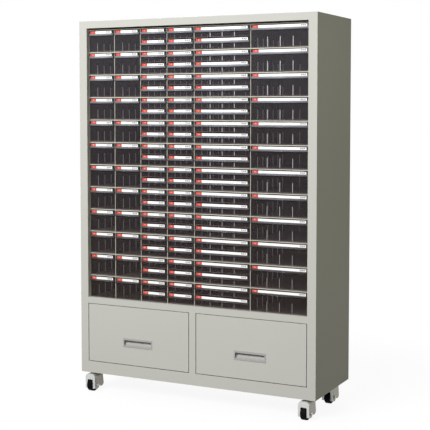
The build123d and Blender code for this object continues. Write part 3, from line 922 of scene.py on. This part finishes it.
class BINS_OT_ribs(bpy.types.Operator):
    """Add frosted edges to the ribs that hold the divider plates, in a light colour with a faint emission: a
    painted highlight and painted glow
    """

    bl_idname = "bins.ribs"
    bl_label = "Rib edges"

    def execute(self, context):
        sizes = context.scene.bins_ribs
        finishes = context.scene.bins_finishes
        # Light rib edges with a faint emission: a painted highlight and painted glow over the ribs.
        materials = [
            frosted_plastic("frosted_rib_painted_highlight", finishes.frost, finishes.low_frost, sizes.glow),
            frosted_plastic("floor_seam", finishes.seam, finishes.seam, 0.0),
        ]
        for (holder, body), group in places_by_holder().items():
            mesh = bmesh.new()
            for _, low, high in group:
                self.drawer_ribs(mesh, sizes, low, high)
            finish_piece(mesh, f"ribs_{holder}", materials, body)
        return {"FINISHED"}

    def drawer_ribs(self, mesh, sizes, low, high):
        """Edges on both side walls, a seam under the front, and edges in a wide drawer's front and rear."""
        front = low.y + FACE_DEPTH
        rise = min(sizes.height, high.z - low.z - sizes.below_top)
        z = (low.z + sizes.floor, low.z + rise + sizes.skin)
        half = sizes.width / 2 + sizes.skin
        depth = sizes.proud + sizes.skin
        for k in range(sizes.side_count):
            y = front + sizes.start + k * sizes.pitch
            for x in (
                (low.x + sizes.wall, low.x + sizes.wall + depth),
                (high.x - sizes.wall - depth, high.x - sizes.wall),
            ):
                soft_block(mesh, (x[0], y - half, z[0]), (x[1], y + half, z[1]), RIB_EDGE, RIB)
        inner_front = front + sizes.front_wall
        inner_rear = high.y - sizes.wall
        seam_low = (low.x + sizes.wall, inner_front, z[0])
        seam_high = (high.x - sizes.wall, inner_front + depth / 2, z[0] + depth)
        soft_block(mesh, seam_low, seam_high, SEAM_EDGE, SEAM)
        if high.x - low.x < WIDE:
            return
        middle = (low.x + high.x) / 2
        for k in range(sizes.front_count):
            x = middle + (k - (sizes.front_count - 1) / 2) * sizes.front_pitch
            for y in ((inner_front, inner_front + depth), (inner_rear - depth, inner_rear)):
                soft_block(mesh, (x - half, y[0], z[0]), (x + half, y[1], z[1]), RIB_EDGE, RIB)


class BINS_OT_pulls(bpy.types.Operator):
    """Finish the recessed pulls and the telescopic slides"""

    bl_idname = "bins.pulls"
    bl_label = "Pulls and slides"

    def execute(self, context):
        finishes = context.scene.bins_finishes
        pull = moulded_plastic("pull_plastic", finishes.pull, roughness=0.38)
        zinc = plated_steel("slide_zinc", finishes.zinc, roughness=0.35)
        for hand in ("left", "right"):
            coat(f"{hand}_drawer_pull", pull)
            coat(f"{hand}_slide_inner_members", zinc)
            coat(f"{hand}_slide_middle_members", zinc)
        coat("slide_outer_members", zinc)
        return {"FINISHED"}


class BINS_OT_casters(bpy.types.Operator):
    """Finish the casters' plates, forks, wheels, axles and bolts"""

    bl_idname = "bins.casters"
    bl_label = "Casters"

    def execute(self, context):
        finishes = context.scene.bins_finishes
        zinc = plated_steel("bolt_zinc", finishes.zinc, roughness=0.32)
        fork_plate = plated_steel("fork_plate", finishes.fork, roughness=0.35, metallic=0.34)
        # Lighter copy of the fork's plating on the front frame: painted light.
        fork_front = plated_steel("fork_front", finishes.fork_front, roughness=0.3, metallic=0.4)
        tyre = rubber("tyre_rubber", finishes.tyre)
        # The top plates' zinc is painted 40% darker than the other zinc: painted shade under the cabinet's
        # base.
        plate_zinc_painted_shade = plated_steel("plate_zinc_painted_shade", shade(finishes.zinc, 0.6), roughness=0.4)
        coat("caster_top_plates", plate_zinc_painted_shade)
        coat("caster_stiffeners", zinc)
        coat("caster_bolts", zinc)
        hub = moulded_plastic("wheel_hub", finishes.hub, roughness=0.4)
        # Dark strips behind the front frame: painted shade in the grooves.
        groove = moulded_plastic("fork_groove_painted_shade", finishes.fork_shade, roughness=0.6)
        for corner in CORNERS:
            coat(f"{corner}_caster_fork", fork_plate)
            coat(f"{corner}_caster_wheel", tyre)
            coat(f"{corner}_caster_axle", zinc)
            frame, groove_shade_strips, discs = self.dress(CasterPlace(corner), context.scene.bins_casters)
            finish_piece(frame, f"{corner}_fork_frame", [fork_front], f"{corner}_caster")
            finish_piece(groove_shade_strips, f"{corner}_fork_groove_shade", [groove], f"{corner}_caster")
            finish_piece(discs, f"{corner}_wheel_discs", [hub], f"{corner}_wheel")
        return {"FINISHED"}

    def dress(self, place, sizes):
        """The fork's raised front frame, the painted shade strips in its grooves, and the wheel's discs."""
        frame = bmesh.new()
        top, foot = sizes.crown - FRAME_BELOW_CROWN, sizes.frame_foot
        arch = self.arch(sizes.frame_width / 2, top, sizes.frame_corner, foot)
        hole = self.arch(sizes.window / 2, sizes.window_top, sizes.window_corner, foot)
        front, rear = -sizes.nose - sizes.frame_proud, -sizes.nose + sizes.frame_depth
        rings = []
        for y in (front, rear):
            for line in (arch, hole):
                rings.append([frame.verts.new(place.at(x, y, z)) for x, z in line])
        outer_front, inner_front, outer_rear, inner_rear = rings
        for k in range(len(arch) - 1):
            for a, b in (
                (outer_front, inner_front),
                (inner_front, inner_rear),
                (inner_rear, outer_rear),
                (outer_rear, outer_front),
            ):
                frame.faces.new((a[k], a[k + 1], b[k + 1], b[k]))
        for k in (0, -1):
            frame.faces.new((outer_front[k], inner_front[k], inner_rear[k], outer_rear[k]))

        # Painted shade: a thin dark strip standing on each flank behind the frame.
        groove_shade_strips = bmesh.new()
        for side in (-1, 1):
            x = sorted((side * sizes.fork_width / 2, side * (sizes.fork_width / 2 + sizes.groove_skin)))
            low = (x[0], rear + GROOVE_GAP, foot + GROOVE_RISE)
            high = (x[1], rear + sizes.groove, sizes.crown - sizes.frame_corner)
            soft_block(groove_shade_strips, low, high, 0.0)
        bmesh.ops.transform(groove_shade_strips, matrix=place.turn, verts=groove_shade_strips.verts)

        discs = bmesh.new()
        for side in (-1, 1):
            rim = side * sizes.tyre_width / 2
            profile = [(r * MM, rim + side * share * sizes.disc_depth) for r, share in DISC_PROFILE]
            turned_ring(discs, profile, DISC_SEGMENTS)
        to_axle = Matrix.Translation((0, -sizes.trail, sizes.wheel_radius))
        bmesh.ops.transform(discs, matrix=place.turn @ to_axle, verts=discs.verts)
        return frame, groove_shade_strips, discs

    def arch(self, half, top, corner, foot):
        """(x, z) points up one leg, over a rounded arch and down the other leg."""
        points = [(-half, foot), (-half, foot + (top - corner - foot) / 2)]
        for k in range(CORNER_STEPS + 1):
            turn = math.radians(180 - 90 * k / CORNER_STEPS)
            points.append((-half + corner + corner * math.cos(turn), top - corner + corner * math.sin(turn)))
        return points + [(-x, z) for x, z in reversed(points)]


class BINS_PT_panel(bpy.types.Panel):
    """Steps of the bin cabinet, in order"""

    bl_label = "Parts bin cabinet"
    bl_idname = "BINS_PT_panel"
    bl_space_type = "VIEW_3D"
    bl_region_type = "UI"
    bl_category = "Bin Cabinet"

    def draw(self, context):
        for step in STEPS:
            self.layout.operator(step.bl_idname)
        for name in GROUPS:
            group = getattr(context.scene, name)
            box = self.layout.box()
            for setting in group.__annotations__:
                box.prop(group, setting)


STEPS = (
    BINS_OT_studio,
    BINS_OT_carcass,
    BINS_OT_rivets,
    BINS_OT_drawers,
    BINS_OT_labels,
    BINS_OT_lips,
    BINS_OT_ribs,
    BINS_OT_pulls,
    BINS_OT_casters,
)
GROUPS = {
    "bins_finishes": CabinetFinishes,
    "bins_labels": LabelSizes,
    "bins_ribs": RibSizes,
    "bins_casters": CasterSizes,
    "bins_rivets": RivetSizes,
    "bins_studio": StudioSettings,
}


def register():
    for group in GROUPS.values():
        bpy.utils.register_class(group)
    for name, group in GROUPS.items():
        setattr(bpy.types.Scene, name, PointerProperty(type=group))
    for step in STEPS:
        bpy.utils.register_class(step)
    bpy.utils.register_class(BINS_PT_panel)


def unregister():
    bpy.utils.unregister_class(BINS_PT_panel)
    for step in reversed(STEPS):
        bpy.utils.unregister_class(step)
    for name, group in GROUPS.items():
        delattr(bpy.types.Scene, name)
        bpy.utils.unregister_class(group)


def main():
    register()
    bpy.ops.bins.studio()
    bpy.ops.bins.carcass()
    bpy.ops.bins.rivets()
    bpy.ops.bins.drawers()
    bpy.ops.bins.labels()
    bpy.ops.bins.lips()
    bpy.ops.bins.ribs()
    bpy.ops.bins.pulls()
    bpy.ops.bins.casters()


if __name__ == "__main__":
    main()
